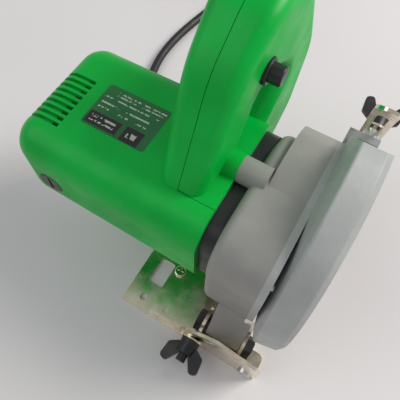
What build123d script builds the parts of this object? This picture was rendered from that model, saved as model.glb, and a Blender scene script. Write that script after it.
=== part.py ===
"""Hand-held wet/dry trim saw with a 110 mm diamond blade.

Frame: X runs along the motor axis toward the blade, -Y is the direction of cut, +Z is up.
The origin lies on the underside of the base plate, below the joint between motor and gearbox.
"""
from build123d import *
from math import atan2, cos, degrees, hypot, pi, radians, sin, tan
import os

os.makedirs("parts", exist_ok=True)

# ---- driving dimensions (mm) ----
BLADE_DIA = 110.0
BLADE_BORE = 20.0
BLADE_X = 50.0
SPINDLE_Y = 17.5
SPINDLE_Z = 63.4
MOTOR_Z = 77.5

BARREL_LENGTH = 117.0
BARREL_WIDTH = 85.2
BARREL_BOTTOM = 42.0
BARREL_TOP = 113.0
BARREL_BORE = 32.3

BARREL_DRAFT = 0.8
TAIL_ROUNDING = 13.0
COMMUTATOR_BORE = 27.0
BRUSH_X = -95.7
TOP_BOSS_Y = 3.0
TOP_BOSS_Z = 112.5
VENT_X = -96.5
VENT_FIRST_Y = -22.5
VENT_PITCH = 4.06
VENT_WIDTH = 2.2
VENT_COUNT = 9
LABEL_X = -66.7
LABEL_LENGTH = 39.5
LABEL_WIDTH = 29.0
LABEL_T = 0.6

HANDLE_X = -20.6
GRIP_FRONT_HALF = 11.1
GRIP_REAR_HALF = 20.6
WALL = 3.2
SEAM = 0.3
TRIGGER_Y = 20.6
TRIGGER_Z = 131.0
TRIGGER_WIDTH = 11.0
TRIGGER_LENGTH = 26.0
LOCK = (28.0, 155.0)
CORD_EXIT = (55.0, 75.0)
HANDLE_SCREWS = [(-8.0, 119.0, 11.0), (50.0, 168.0, 15.5), (70.0, 110.0, 17.0)]
LINK_X = 51.0
STUD_SEAT = 148.5

GEARBOX_FRONT = 7.8
GEARBOX_BACK = 36.0
PINION_TEETH = 14
GEAR_TEETH = 31
GEAR_MODULE = 1.0

GUARD_RADIUS = 73.5
GUARD_OUTER_RADIUS = 71.2
GUARD_RIM_X = 44.7
GUARD_OUTER_X = 60.6
GUARD_REAR_ANGLE = 12.0
GUARD_FRONT_ANGLE = 190.0

DEPTH_PIVOT_Y = -54.0
DEPTH_PIVOT_Z = 22.0
DEPTH_LOWER = 17.0
DEPTH_RAISE = 10.0
LINK_RADIUS = 157.0
STUD_ANGLE = 18.0

BASE_LEFT = -43.2
BASE_RIGHT = 57.3
BASE_FRONT = -65.8
BASE_REAR = 86.0
BASE_T = 2.0
SHEET_T = 1.9
PLATE_Z = 2.2
HEAD_T = 2.6

BEVEL_X = 50.0
BEVEL_Z = 8.0
BEVEL_RANGE = 45.0
BEVEL_BOLT_X = 12.8
BEVEL_BOLT_Z = 14.0

CORD_DIA = 7.0
COIL_CENTER = (-170.0, 276.0)

# ---- derived positions ----
GUARD_LIP_RADIUS = GUARD_OUTER_RADIUS - 8.0
SPINDLE_AXIS = Axis((0, SPINDLE_Y, SPINDLE_Z), (1, 0, 0))
BEVEL_BOLT_RADIUS = hypot(BEVEL_X - BEVEL_BOLT_X, BEVEL_BOLT_Z - BEVEL_Z)
BEVEL_BOLT_ANGLE = degrees(atan2(BEVEL_BOLT_Z - BEVEL_Z, BEVEL_X - BEVEL_BOLT_X))


def yz(x):
    """Sketch plane across the motor axis at x: local (x, y) is (Y, Z)."""
    return Plane.YZ.offset(x)


def xz(y):
    """Sketch plane facing the front of the saw at y: local (x, y) is (X, Z)."""
    return Plane(origin=(0, y, 0), x_dir=(1, 0, 0), z_dir=(0, -1, 0))


def link_plane(angle, radius):
    """Plane square to the radius from the depth pivot, its local x along X."""
    a = radians(angle)
    origin = (LINK_X, DEPTH_PIVOT_Y + radius * cos(a), DEPTH_PIVOT_Z + radius * sin(a))
    return Plane(origin=origin, x_dir=(1, 0, 0), z_dir=(0, cos(a), sin(a)))


def outline(plane, corners, inset=0.0):
    """Closed outline through (a, b, radius) corners, moved in by the inset."""
    with BuildSketch(plane) as shape:
        with BuildLine():
            points = [(a, b) for a, b, _ in corners]
            FilletPolyline(*points, radius=[r for _, _, r in corners], close=True)
        make_face()
        if inset:
            offset(amount=-inset)
    return shape.sketch


BARREL_CORNERS = [
    (-BARREL_WIDTH / 2, BARREL_BOTTOM, 28),
    (BARREL_WIDTH / 2, BARREL_BOTTOM, 28),
    (BARREL_WIDTH / 2, BARREL_TOP, 17.5),
    (-BARREL_WIDTH / 2, BARREL_TOP, 17.5),
]
GEARBOX_CORNERS = [(-48, 36, 26), (47, 36, 26), (47, 115.5, 32), (-48, 115.5, 24)]
LOOP_CORNERS = [
    (-27, 107.3, 0),
    (2.5, 166, 40),
    (33, 187, 24),
    (66, 178, 28),
    (86, 130, 38),
    (78, 88, 30),
    (58, 62, 10),
    (34, 68, 0),
    (20, 107.3, 0),
]
FINGER_CORNERS = [
    (10, 106, 0),
    (26, 143.5, 8),
    (43, 142.5, 14),
    (58.5, 131.5, 10),
    (47.5, 119, 10),
    (36.5, 106, 0),
]


def handle_loop(inset=0.0, rounding=0.0):
    """The closed loop of the handle, slimmer at the grip than at its rear foot."""
    near = GRIP_FRONT_HALF - inset
    far = GRIP_REAR_HALF - inset
    with BuildPart() as loop:
        extrude(outline(yz(HANDLE_X), LOOP_CORNERS, inset), amount=30, both=True)
        finger_gap = outline(yz(HANDLE_X), FINGER_CORNERS, -inset)
        extrude(finger_gap, amount=30, both=True, mode=Mode.SUBTRACT)
        with BuildSketch(Plane.XY.offset(40)):
            with BuildLine():
                Polyline(
                    (HANDLE_X - near, -30),
                    (HANDLE_X + near, -30),
                    (HANDLE_X + far, 92),
                    (HANDLE_X - far, 92),
                    close=True,
                )
            make_face()
        extrude(amount=160, mode=Mode.INTERSECT)
        if rounding:
            sides = loop.faces().sort_by(Axis.X)
            fillet(sides[0].edges() + sides[-1].edges(), rounding)
    return loop.part


def rod(axis, center, start, end, radius):
    """Cylinder along X or Y between two stations, centred on (a, b) across it."""
    a, b = center
    if axis == "X":
        plane = Plane(origin=(start, a, b), x_dir=(0, 1, 0), z_dir=(1, 0, 0))
    else:
        plane = Plane(origin=(a, start, b), x_dir=(1, 0, 0), z_dir=(0, 1, 0))
    with BuildPart(plane) as cylinder:
        Cylinder(radius, end - start, align=(Align.CENTER, Align.CENTER, Align.MIN))
    return cylinder.part


def ring(axis, center, start, end, outer, inner):
    """Tube along X or Y between two stations."""
    with BuildPart() as tube:
        add(rod(axis, center, start, end, outer))
        add(rod(axis, center, start - 1, end + 1, inner), mode=Mode.SUBTRACT)
    return tube.part


MOTOR = (0, MOTOR_Z)
BRUSH = (BRUSH_X, MOTOR_Z)
SPINDLE = (SPINDLE_Y, SPINDLE_Z)
PIVOT = (DEPTH_PIVOT_Y, DEPTH_PIVOT_Z)
TOP_BOSS = (TOP_BOSS_Y, TOP_BOSS_Z)
BEVEL = (BEVEL_X, BEVEL_Z)
BARREL_SCREWS = [(-31, 54), (31, 54), (-31, 101), (29, 100)]


# ---- motor housing and the cover that closes the handle ----
def label_plane():
    """Top of the barrel under the rating label, falling gently to the tail."""
    slope = radians(BARREL_DRAFT)
    height = BARREL_TOP + LABEL_X * tan(slope)
    along = (cos(slope), 0, sin(slope))
    return Plane(origin=(LABEL_X, 0, height), x_dir=along, z_dir=(-sin(slope), 0, cos(slope)))


def housing_shell():
    """Motor barrel and hollow handle loop as one moulding, before the cover is split off."""
    with BuildPart() as shell:
        section = outline(yz(0), BARREL_CORNERS)
        extrude(section, amount=BARREL_LENGTH, dir=(-1, 0, 0), taper=BARREL_DRAFT)
        fillet(shell.faces().sort_by(Axis.X)[0].edges(), TAIL_ROUNDING)
        add(rod("X", (TOP_BOSS_Y, TOP_BOSS_Z), -13, 0, 7.8))
        add(handle_loop(0, 7.0))
        # motor chamber, commutator chamber and tail bearing seat
        add(rod("X", MOTOR, -82, 1, BARREL_BORE), mode=Mode.SUBTRACT)
        add(rod("X", MOTOR, -104, -81, COMMUTATOR_BORE), mode=Mode.SUBTRACT)
        add(rod("X", MOTOR, -111, -103, 11), mode=Mode.SUBTRACT)
        add(handle_loop(WALL), mode=Mode.SUBTRACT)
        # brush holder bores
        add(rod("Y", BRUSH, -50, 50, 6.5), mode=Mode.SUBTRACT)
        add(rod("Y", BRUSH, -50, -36, 7.6), mode=Mode.SUBTRACT)
        add(rod("Y", BRUSH, 36, 50, 7.6), mode=Mode.SUBTRACT)
        for center in (*BARREL_SCREWS, TOP_BOSS):
            add(rod("X", center, -12, 1, 2.5), mode=Mode.SUBTRACT)
        # air inlets: a row of slots, each with a groove running over the tail
        for i in range(VENT_COUNT):
            y = VENT_FIRST_Y + i * VENT_PITCH
            with BuildSketch(xz(y)):
                with Locations((VENT_X, 104)):
                    Rectangle(5, 24)
            extrude(amount=VENT_WIDTH / 2, both=True, mode=Mode.SUBTRACT)
            with BuildSketch(xz(y)):
                with BuildLine():
                    groove = BARREL_TOP - 3.4
                    curve = 1 + TAIL_ROUNDING - BARREL_LENGTH
                    Line((VENT_X, groove), (curve, groove))
                    RadiusArc((curve, groove), (3.6 - BARREL_LENGTH, groove - 12.4), -12.4)
                    Polyline(
                        (3.6 - BARREL_LENGTH, groove - 12.4),
                        (3.6 - BARREL_LENGTH, 90),
                        (-2 - BARREL_LENGTH, 90),
                        (-2 - BARREL_LENGTH, 118),
                        (VENT_X, 118),
                        (VENT_X, groove),
                    )
                make_face()
            extrude(amount=VENT_WIDTH / 2, both=True, mode=Mode.SUBTRACT)
        # pocket of the rating label
        with BuildSketch(label_plane()):
            RectangleRounded(LABEL_LENGTH, LABEL_WIDTH, 2)
        extrude(amount=-LABEL_T, mode=Mode.SUBTRACT)
        # trigger slot through the inner face of the grip
        with BuildSketch(trigger_plane()):
            Rectangle(TRIGGER_WIDTH + 0.8, TRIGGER_LENGTH + 0.8)
        extrude(amount=12, both=True, mode=Mode.SUBTRACT)
        # lock button bore and cord guard bore
        add(rod("X", LOCK, -16, 6, 6.6), mode=Mode.SUBTRACT)
        add(rod("X", CORD_EXIT, -60, -30, 6.6), mode=Mode.SUBTRACT)
        # screw bosses across the handle, their heads sunk in the far side
        for y, z, half in HANDLE_SCREWS:
            near_end = HANDLE_X - half
            add(rod("X", (y, z), near_end, HANDLE_X + half, 5))
            add(rod("X", (y, z), -60, near_end + 3, 3.3), mode=Mode.SUBTRACT)
            add(rod("X", (y, z), near_end, HANDLE_X + half - 3, 1.6), mode=Mode.SUBTRACT)
    return shell.part


def trigger_plane():
    """Face of the trigger opening, its normal pointing out of the grip into the loop."""
    slope = atan2(166.0 - 107.3, 2.5 + 27.0)
    outward = (0, sin(slope), -cos(slope))
    return Plane(origin=(HANDLE_X, TRIGGER_Y, TRIGGER_Z), x_dir=(-1, 0, 0), z_dir=outward)


def cover_zone(clearance):
    """Space on the blade side of the handle's parting line."""
    corners = [(-24, 100, 0), (38, 100, 0), (38, 50, 0), (100, 50, 0), (100, 200, 0), (-24, 200, 0)]
    with BuildPart() as zone:
        extrude(outline(yz(HANDLE_X + clearance), corners, clearance), amount=40)
    return zone.part


SHELL = housing_shell()

with BuildPart() as motor_housing:
    add(SHELL)
    add(cover_zone(0), mode=Mode.SUBTRACT)
motor_housing.part.label = "motor_housing"
export_step(motor_housing.part, "parts/motor_housing.step")

with BuildPart() as handle_cover:
    add(SHELL)
    add(cover_zone(SEAM), mode=Mode.INTERSECT)
handle_cover.part.label = "handle_cover"
export_step(handle_cover.part, "parts/handle_cover.step")

with BuildPart() as rating_label:
    with BuildSketch(label_plane()):
        RectangleRounded(LABEL_LENGTH, LABEL_WIDTH, 2)
    extrude(amount=-LABEL_T)
rating_label.part.label = "rating_label"
export_step(rating_label.part, "parts/rating_label.step")

# ---- brush gear, one set each side of the commutator ----
COMMUTATOR_RADIUS = 11.0
CAP_SEAT_Y = 36.0
CAP_FACE_Y = 41.6
HOLDER_INNER_Y = 14.0
BRUSH_SIDE = 5.6
BRUSH_LENGTH = 11.0

with BuildPart() as brush_caps:
    add(rod("Y", BRUSH, CAP_SEAT_Y, CAP_FACE_Y, 7.5))
    with BuildSketch(xz(CAP_FACE_Y)):
        with Locations(BRUSH):
            Rectangle(1.7, 11)
    extrude(amount=1.6, mode=Mode.SUBTRACT)
    mirror(about=Plane.XZ)
brush_caps.part.label = "brush_caps"
export_step(brush_caps.part, "parts/brush_caps.step")

with BuildPart() as brush_holders:
    add(ring("Y", BRUSH, HOLDER_INNER_Y, CAP_SEAT_Y, 6.4, 4.2))
    mirror(about=Plane.XZ)
brush_holders.part.label = "brush_holders"
export_step(brush_holders.part, "parts/brush_holders.step")

with BuildPart() as carbon_brushes:
    with BuildSketch(xz(COMMUTATOR_RADIUS + 0.1)):
        with Locations(BRUSH):
            Rectangle(BRUSH_SIDE, BRUSH_SIDE)
    extrude(amount=-BRUSH_LENGTH)
    mirror(about=Plane.XZ)
carbon_brushes.part.label = "carbon_brushes"
export_step(carbon_brushes.part, "parts/carbon_brushes.step")

with BuildPart() as brush_springs:
    add(ring("Y", BRUSH, COMMUTATOR_RADIUS + BRUSH_LENGTH + 0.2, CAP_SEAT_Y, 3.2, 2.4))
    mirror(about=Plane.XZ)
brush_springs.part.label = "brush_springs"
export_step(brush_springs.part, "parts/brush_springs.step")

# ---- stator ----
with BuildPart() as stator_core:
    add(ring("X", MOTOR, -78, -30, BARREL_BORE - 0.05, 18.4))
    for side in (-1, 1):
        with BuildSketch(yz(-79)):
            with Locations((0, MOTOR_Z + side * 25.5)):
                Rectangle(30, 7)
        extrude(amount=50, mode=Mode.SUBTRACT)
stator_core.part.label = "stator_core"
export_step(stator_core.part, "parts/stator_core.step")

with BuildPart() as stator_windings:
    for side in (-1, 1):
        with BuildSketch(yz(-81.5)):
            with Locations((0, MOTOR_Z + side * 25.5)):
                Rectangle(29.4, 6.4)
        extrude(amount=55)
stator_windings.part.label = "stator_windings"
export_step(stator_windings.part, "parts/stator_windings.step")

# ---- rotor ----
with BuildPart() as armature_shaft:
    add(rod("X", MOTOR, -111, 17, 3.97))
    add(rod("X", MOTOR, 17, 33, 3.2))
armature_shaft.part.label = "armature_shaft"
export_step(armature_shaft.part, "parts/armature_shaft.step")

with BuildPart() as armature_core:
    add(ring("X", MOTOR, -76, -32, 17.6, 4.0))
    with BuildSketch(yz(-77)):
        with Locations((0, MOTOR_Z)):
            with PolarLocations(16.2, 16):
                Rectangle(3.4, 1.6)
    extrude(amount=46, mode=Mode.SUBTRACT)
armature_core.part.label = "armature_core"
export_step(armature_core.part, "parts/armature_core.step")

with BuildPart() as armature_windings:
    add(ring("X", MOTOR, -82, -76.05, 15.0, 4.0))
    add(ring("X", MOTOR, -31.95, -27, 15.0, 4.0))
armature_windings.part.label = "armature_windings"
export_step(armature_windings.part, "parts/armature_windings.step")

with BuildPart() as commutator:
    add(ring("X", MOTOR, -101, -88, COMMUTATOR_RADIUS, 4.0))
    with BuildSketch(yz(-102)):
        with Locations((0, MOTOR_Z)):
            with PolarLocations(COMMUTATOR_RADIUS, 24):
                Rectangle(1.2, 0.5)
    extrude(amount=15, mode=Mode.SUBTRACT)
commutator.part.label = "commutator"
export_step(commutator.part, "parts/commutator.step")

with BuildPart() as cooling_fan:
    add(ring("X", MOTOR, -20, -18, 29, 4.0))
    add(ring("X", MOTOR, -18, -8, 8, 4.0))
    with BuildSketch(yz(-18)):
        with Locations((0, MOTOR_Z)):
            with PolarLocations(20, 14):
                Rectangle(17, 1.6)
    extrude(amount=8)
cooling_fan.part.label = "cooling_fan"
export_step(cooling_fan.part, "parts/cooling_fan.step")

with BuildPart() as motor_bearings:
    add(ring("X", MOTOR, -111, -104, 11, 4.0))
    add(ring("X", MOTOR, 9.5, 16.5, 11, 4.0))
motor_bearings.part.label = "motor_bearings"
export_step(motor_bearings.part, "parts/motor_bearings.step")

# ---- gear train: pitch circles touch, tips stop just short of them ----
PINION_PITCH_R = GEAR_MODULE * PINION_TEETH / 2
GEAR_PITCH_R = GEAR_MODULE * GEAR_TEETH / 2
TOOTH_GAP = 0.12
TOOTH_DEPTH = 0.9


def spur_gear(center, start, end, pitch_radius, teeth, bore):
    """Gear blank with a shallow trapezoid gap between each pair of teeth."""
    tip = pitch_radius - TOOTH_GAP
    with BuildPart() as gear:
        add(ring("X", center, start, end, tip, bore))
        with BuildSketch(yz(start - 1)):
            with Locations(center):
                with PolarLocations(tip, teeth):
                    Rectangle(2 * TOOTH_DEPTH, GEAR_MODULE * pi / 2 * 0.8)
        extrude(amount=end - start + 2, mode=Mode.SUBTRACT)
    return gear.part


with BuildPart() as pinion:
    add(spur_gear(MOTOR, 20, 31, PINION_PITCH_R, PINION_TEETH, 3.2))
pinion.part.label = "pinion"
export_step(pinion.part, "parts/pinion.step")

with BuildPart() as spindle_gear:
    add(spur_gear(SPINDLE, 21, 30, GEAR_PITCH_R, GEAR_TEETH, 6.0))
spindle_gear.part.label = "spindle_gear"
export_step(spindle_gear.part, "parts/spindle_gear.step")

# ---- gear housing with the depth pivot lug ----
LUG_LEFT = 18.9
LUG_RIGHT = 40.6
CHEEK_T = 2.0
LEFT_CHEEK_X = 14.6
RIGHT_CHEEK_X = 41.0
LUG_RADIUS = 4.6
GUARD_SCREWS = [(-36, 92), (2, 107), (41, 86), (-38, 63)]

with BuildPart() as gear_housing:
    section = outline(yz(GEARBOX_FRONT), GEARBOX_CORNERS)
    extrude(section, amount=GEARBOX_BACK - GEARBOX_FRONT)
    fillet(gear_housing.faces().sort_by(Axis.X)[0].edges(), 5)
    # raised dome over the gears
    with BuildSketch(yz(16)):
        with Locations((16, 72)):
            Circle(46.5)
        with Locations((16, 20)):
            Rectangle(110, 40, mode=Mode.SUBTRACT)
    extrude(amount=GEARBOX_BACK - 16)
    # dowel boss along the top and a lug round each screw
    add(rod("X", TOP_BOSS, 0, 15, 7.3))
    for center in BARREL_SCREWS:
        add(rod("X", center, 0, GEARBOX_FRONT + 2, LUG_RADIUS))
    # pivot lug
    lug = [(-40, 58, 0), (-49, 50.5, 3), (-60.3, 24, 6), (-57, 15.6, 6), (-48, 17.5, 8), (-36, 40, 0)]
    extrude(outline(yz(LUG_LEFT), lug), amount=LUG_RIGHT - LUG_LEFT)
    with BuildSketch(yz(GEARBOX_BACK)):
        with Locations((0, 60)):
            Rectangle(96.6, 90)
    extrude(amount=10, mode=Mode.SUBTRACT)
    # gear chamber, bearing seats and shaft clearances
    inner = outline(yz(18), GEARBOX_CORNERS, 5)
    extrude(inner, amount=GEARBOX_BACK - 18 + 1, mode=Mode.SUBTRACT)
    add(rod("X", MOTOR, 9.5, 19, 11), mode=Mode.SUBTRACT)
    add(rod("X", MOTOR, 7, 10, 8), mode=Mode.SUBTRACT)
    add(rod("X", SPINDLE, 11, 19, 7.0), mode=Mode.SUBTRACT)
    add(rod("X", PIVOT, LUG_LEFT - 1, LUG_RIGHT + 1, 4.05), mode=Mode.SUBTRACT)
    for center in BARREL_SCREWS:
        add(rod("X", center, -1, 19, 2.55), mode=Mode.SUBTRACT)
    add(rod("X", TOP_BOSS, -1, 12, 2.5), mode=Mode.SUBTRACT)
    # bosses for the guard's screws
    for center in GUARD_SCREWS:
        add(rod("X", center, 17.5, GEARBOX_BACK, 4.8))
        add(rod("X", center, 22, GEARBOX_BACK + 1, 2.0), mode=Mode.SUBTRACT)
gear_housing.part.label = "gear_housing"
export_step(gear_housing.part, "parts/gear_housing.step")

with BuildPart() as fan_baffle:
    extrude(outline(yz(0), BARREL_CORNERS, 3.6), amount=GEARBOX_FRONT)
    add(rod("X", MOTOR, -1, 9, 19), mode=Mode.SUBTRACT)
    add(rod("X", TOP_BOSS, -1, 9, 7.6), mode=Mode.SUBTRACT)
    for center in BARREL_SCREWS:
        add(rod("X", center, -1, 9, LUG_RADIUS + 0.1), mode=Mode.SUBTRACT)
fan_baffle.part.label = "fan_baffle"
export_step(fan_baffle.part, "parts/fan_baffle.step")


def pan_screw(y, z, seat, length, radius, head_radius, side=1):
    """Pan-head screw along X, its head on the +X side of the seat, or on the other for -1."""
    seat_plane = Plane(origin=(seat, y, z), x_dir=(0, 1, 0), z_dir=(side, 0, 0))
    with BuildPart() as screw:
        with BuildSketch(seat_plane):
            Circle(head_radius)
        extrude(amount=HEAD_T)
        fillet(screw.faces().sort_by(Axis.X)[-1 if side > 0 else 0].edges(), 1.2)
        with BuildSketch(seat_plane.offset(HEAD_T)):
            Rectangle(head_radius * 1.2, 1)
            Rectangle(1, head_radius * 1.2)
        extrude(amount=-1.4, mode=Mode.SUBTRACT)
        with BuildSketch(seat_plane):
            Circle(radius)
        extrude(amount=-length)
    return screw.part


with BuildPart() as housing_screws:
    for y, z in BARREL_SCREWS:
        add(pan_screw(y, z, 18, 29.5, 2.5, 4.4))
housing_screws.part.label = "housing_screws"
export_step(housing_screws.part, "parts/housing_screws.step")

with BuildPart() as top_dowel:
    add(rod("X", TOP_BOSS, -11.5, 11.5, 2.5))
top_dowel.part.label = "top_dowel"
export_step(top_dowel.part, "parts/top_dowel.step")

# ---- blade guard: gear cover, side wall and rim in one casting ----
GUARD_SWEEP = GUARD_FRONT_ANGLE - GUARD_REAR_ANGLE
WALL_X = 39.5


def spindle_sector(profile):
    """Solid swept round the spindle between the guard's two ends from (x, r) points."""
    a = radians(GUARD_REAR_ANGLE)
    start = Plane(
        origin=(0, SPINDLE_Y, SPINDLE_Z), x_dir=(1, 0, 0), z_dir=(0, -sin(a), cos(a))
    )
    with BuildPart() as sector:
        with BuildSketch(start):
            with BuildLine():
                points = [(x, r) for x, r, _ in profile]
                FilletPolyline(*points, radius=[f for _, _, f in profile], close=True)
            make_face()
        revolve(axis=SPINDLE_AXIS, revolution_arc=GUARD_SWEEP)
    return sector.part


GUARD_PROFILE = [
    (WALL_X, 20, 0),
    (WALL_X, 56, 6),
    (42.2, 68, 6),
    (GUARD_RIM_X, GUARD_RADIUS, 1.5),
    (GUARD_OUTER_X - 3, GUARD_OUTER_RADIUS + 0.4, 2),
    (GUARD_OUTER_X, GUARD_OUTER_RADIUS - 2.6, 1),
    (GUARD_OUTER_X, GUARD_LIP_RADIUS + 1, 0),
    (GUARD_OUTER_X - 2.4, GUARD_LIP_RADIUS + 1, 0),
    (GUARD_OUTER_X - 3.4, GUARD_OUTER_RADIUS - 3, 2),
    (46.6, GUARD_RADIUS - 3.4, 3),
    (45.2, 66, 5),
    (42.6, 54, 5),
    (42.6, 20, 0),
]
GUARD_SCREW_SEAT = 42.6
REAR_CUT = [(30, 136, 0), (86, 68.2, 0), (110, 68.2, 0), (110, 150, 0), (30, 150, 0)]
SEAT_T = 4.5
SEAT_RIGHT = 57.5
ARM_LEFT = 37.5
ARM_RIGHT = 44.7
ARM_START = 115.0
ARM_HEIGHT = 16.0

with BuildPart() as blade_guard:
    add(spindle_sector(GUARD_PROFILE))
    extrude(outline(yz(GEARBOX_BACK), GEARBOX_CORNERS), amount=WALL_X - GEARBOX_BACK + 0.2)
    with BuildSketch(yz(GEARBOX_BACK)):
        with Locations((16, 72)):
            Circle(46.5)
        with Locations((16, 20)):
            Rectangle(110, 40, mode=Mode.SUBTRACT)
    extrude(amount=WALL_X - GEARBOX_BACK + 0.2)
    add(rod("X", SPINDLE, WALL_X - 0.5, 46.2, 21))
    # straight cut that leaves the rear of the guard open above the depth stud
    extrude(outline(yz(GEARBOX_BACK), REAR_CUT), amount=30, mode=Mode.SUBTRACT)
    # seat for the depth stud, on an arm out of the side wall
    with BuildSketch(link_plane(STUD_ANGLE, STUD_SEAT - SEAT_T)):
        with Locations((ARM_LEFT / 2 + SEAT_RIGHT / 2 - LINK_X, -3)):
            Rectangle(SEAT_RIGHT - ARM_LEFT, ARM_HEIGHT)
    extrude(amount=SEAT_T)
    with BuildSketch(link_plane(STUD_ANGLE, ARM_START)):
        with Locations((ARM_LEFT / 2 + ARM_RIGHT / 2 - LINK_X, -3)):
            Rectangle(ARM_RIGHT - ARM_LEFT, ARM_HEIGHT)
    extrude(amount=STUD_SEAT - ARM_START)
    add(rod("X", SPINDLE, 36.4, 46.3, 16), mode=Mode.SUBTRACT)
    add(rod("X", SPINDLE, 35, 37, 8), mode=Mode.SUBTRACT)
    for center in GUARD_SCREWS:
        add(rod("X", center, GEARBOX_BACK - 1, 50, 2.1), mode=Mode.SUBTRACT)
        add(rod("X", center, GUARD_SCREW_SEAT, 50, 4.4), mode=Mode.SUBTRACT)
blade_guard.part.label = "blade_guard"
export_step(blade_guard.part, "parts/blade_guard.step")

with BuildPart() as guard_screws:
    for y, z in GUARD_SCREWS:
        add(pan_screw(y, z, GUARD_SCREW_SEAT, 18, 2.0, 4.0))
guard_screws.part.label = "guard_screws"
export_step(guard_screws.part, "parts/guard_screws.step")

# ---- spindle, bearings and blade ----
FLANGE_RADIUS = 19.0
INNER_FLANGE_X = 46.8
CORE_T = 1.6
SEGMENT_T = 2.2
SEGMENT_DEPTH = 7.0
SEGMENT_COUNT = 12
BLADE_LEFT = BLADE_X - CORE_T / 2
BLADE_RIGHT = BLADE_X + CORE_T / 2

with BuildPart() as spindle:
    add(rod("X", SPINDLE, 11.2, 17.2, 3.97))
    add(rod("X", SPINDLE, 17.2, 56, 5.98))
spindle.part.label = "spindle"
export_step(spindle.part, "parts/spindle.step")

with BuildPart() as spindle_rear_bearing:
    add(ring("X", SPINDLE, 11, 17, 7.0, 4.0))
spindle_rear_bearing.part.label = "spindle_rear_bearing"
export_step(spindle_rear_bearing.part, "parts/spindle_rear_bearing.step")

with BuildPart() as spindle_front_bearing:
    add(ring("X", SPINDLE, 36.4, 46.2, 16.0, 6.0))
spindle_front_bearing.part.label = "spindle_front_bearing"
export_step(spindle_front_bearing.part, "parts/spindle_front_bearing.step")

with BuildPart() as inner_flange:
    add(ring("X", SPINDLE, INNER_FLANGE_X, BLADE_LEFT, FLANGE_RADIUS, 6.0))
    add(ring("X", SPINDLE, BLADE_LEFT, BLADE_RIGHT - 0.2, BLADE_BORE / 2 - 0.05, 6.0))
inner_flange.part.label = "inner_flange"
export_step(inner_flange.part, "parts/inner_flange.step")

with BuildPart() as outer_flange:
    add(ring("X", SPINDLE, BLADE_RIGHT, BLADE_RIGHT + 3, FLANGE_RADIUS, 6.0))
    chamfer(outer_flange.faces().sort_by(Axis.X)[-1].outer_wire().edges(), 1.2)
outer_flange.part.label = "outer_flange"
export_step(outer_flange.part, "parts/outer_flange.step")

with BuildPart() as blade_bolt:
    add(rod("X", SPINDLE, 56, 57.4, 9))
    with BuildSketch(yz(57.4)):
        with Locations(SPINDLE):
            RegularPolygon(7.5, 6)
    extrude(amount=4)
blade_bolt.part.label = "blade_bolt"
export_step(blade_bolt.part, "parts/blade_bolt.step")

core_radius = BLADE_DIA / 2 - SEGMENT_DEPTH
with BuildPart() as blade_core:
    add(ring("X", SPINDLE, BLADE_LEFT, BLADE_RIGHT, core_radius, BLADE_BORE / 2))
    with BuildSketch(yz(BLADE_LEFT - 1)):
        with Locations(SPINDLE):
            with PolarLocations(core_radius - 2, SEGMENT_COUNT, start_angle=15):
                Rectangle(8, 1.8)
            with PolarLocations(core_radius - 6, SEGMENT_COUNT, start_angle=15):
                Circle(1.8)
            with PolarLocations(34, 6):
                Circle(3.2)
    extrude(amount=CORE_T + 2, mode=Mode.SUBTRACT)
blade_core.part.label = "blade_core"
export_step(blade_core.part, "parts/blade_core.step")

with BuildPart() as diamond_segments:
    with BuildSketch(yz(BLADE_X)):
        with Locations(SPINDLE):
            Circle(BLADE_DIA / 2)
            Circle(core_radius, mode=Mode.SUBTRACT)
            with PolarLocations(core_radius + SEGMENT_DEPTH / 2, SEGMENT_COUNT, start_angle=15):
                Rectangle(SEGMENT_DEPTH + 4, 2.4, mode=Mode.SUBTRACT)
    extrude(amount=SEGMENT_T / 2, both=True)
diamond_segments.part.label = "diamond_segments"
export_step(diamond_segments.part, "parts/diamond_segments.step")

# ---- base plate with its upright quadrant and rear tab ----
BEVEL_SLOT_WIDTH = 6.4
BEVEL_SLOT_LOW = 180 - BEVEL_BOLT_ANGLE
QUADRANT_RADIUS = 45.0
EAR_RADIUS = 5.6
PIN_RADIUS = 2.5
REAR_TAB_Y = 84.0

base_corners = [
    (BASE_LEFT, BASE_FRONT, 0),
    (BASE_RIGHT, BASE_FRONT, 0),
    (BASE_RIGHT, -50, 4),
    (36, -50, 4),
    (36, 82.4, 4),
    (BASE_RIGHT, 82.4, 2),
    (BASE_RIGHT, BASE_REAR, 0),
    (BASE_LEFT, BASE_REAR, 6),
]



def quadrant_point(angle):
    """Point on the quadrant's curved edge in (X, Z), at an angle above its left corner."""
    a = radians(angle)
    return (BEVEL_X - QUADRANT_RADIUS * cos(a), BEVEL_Z + QUADRANT_RADIUS * sin(a))


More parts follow.
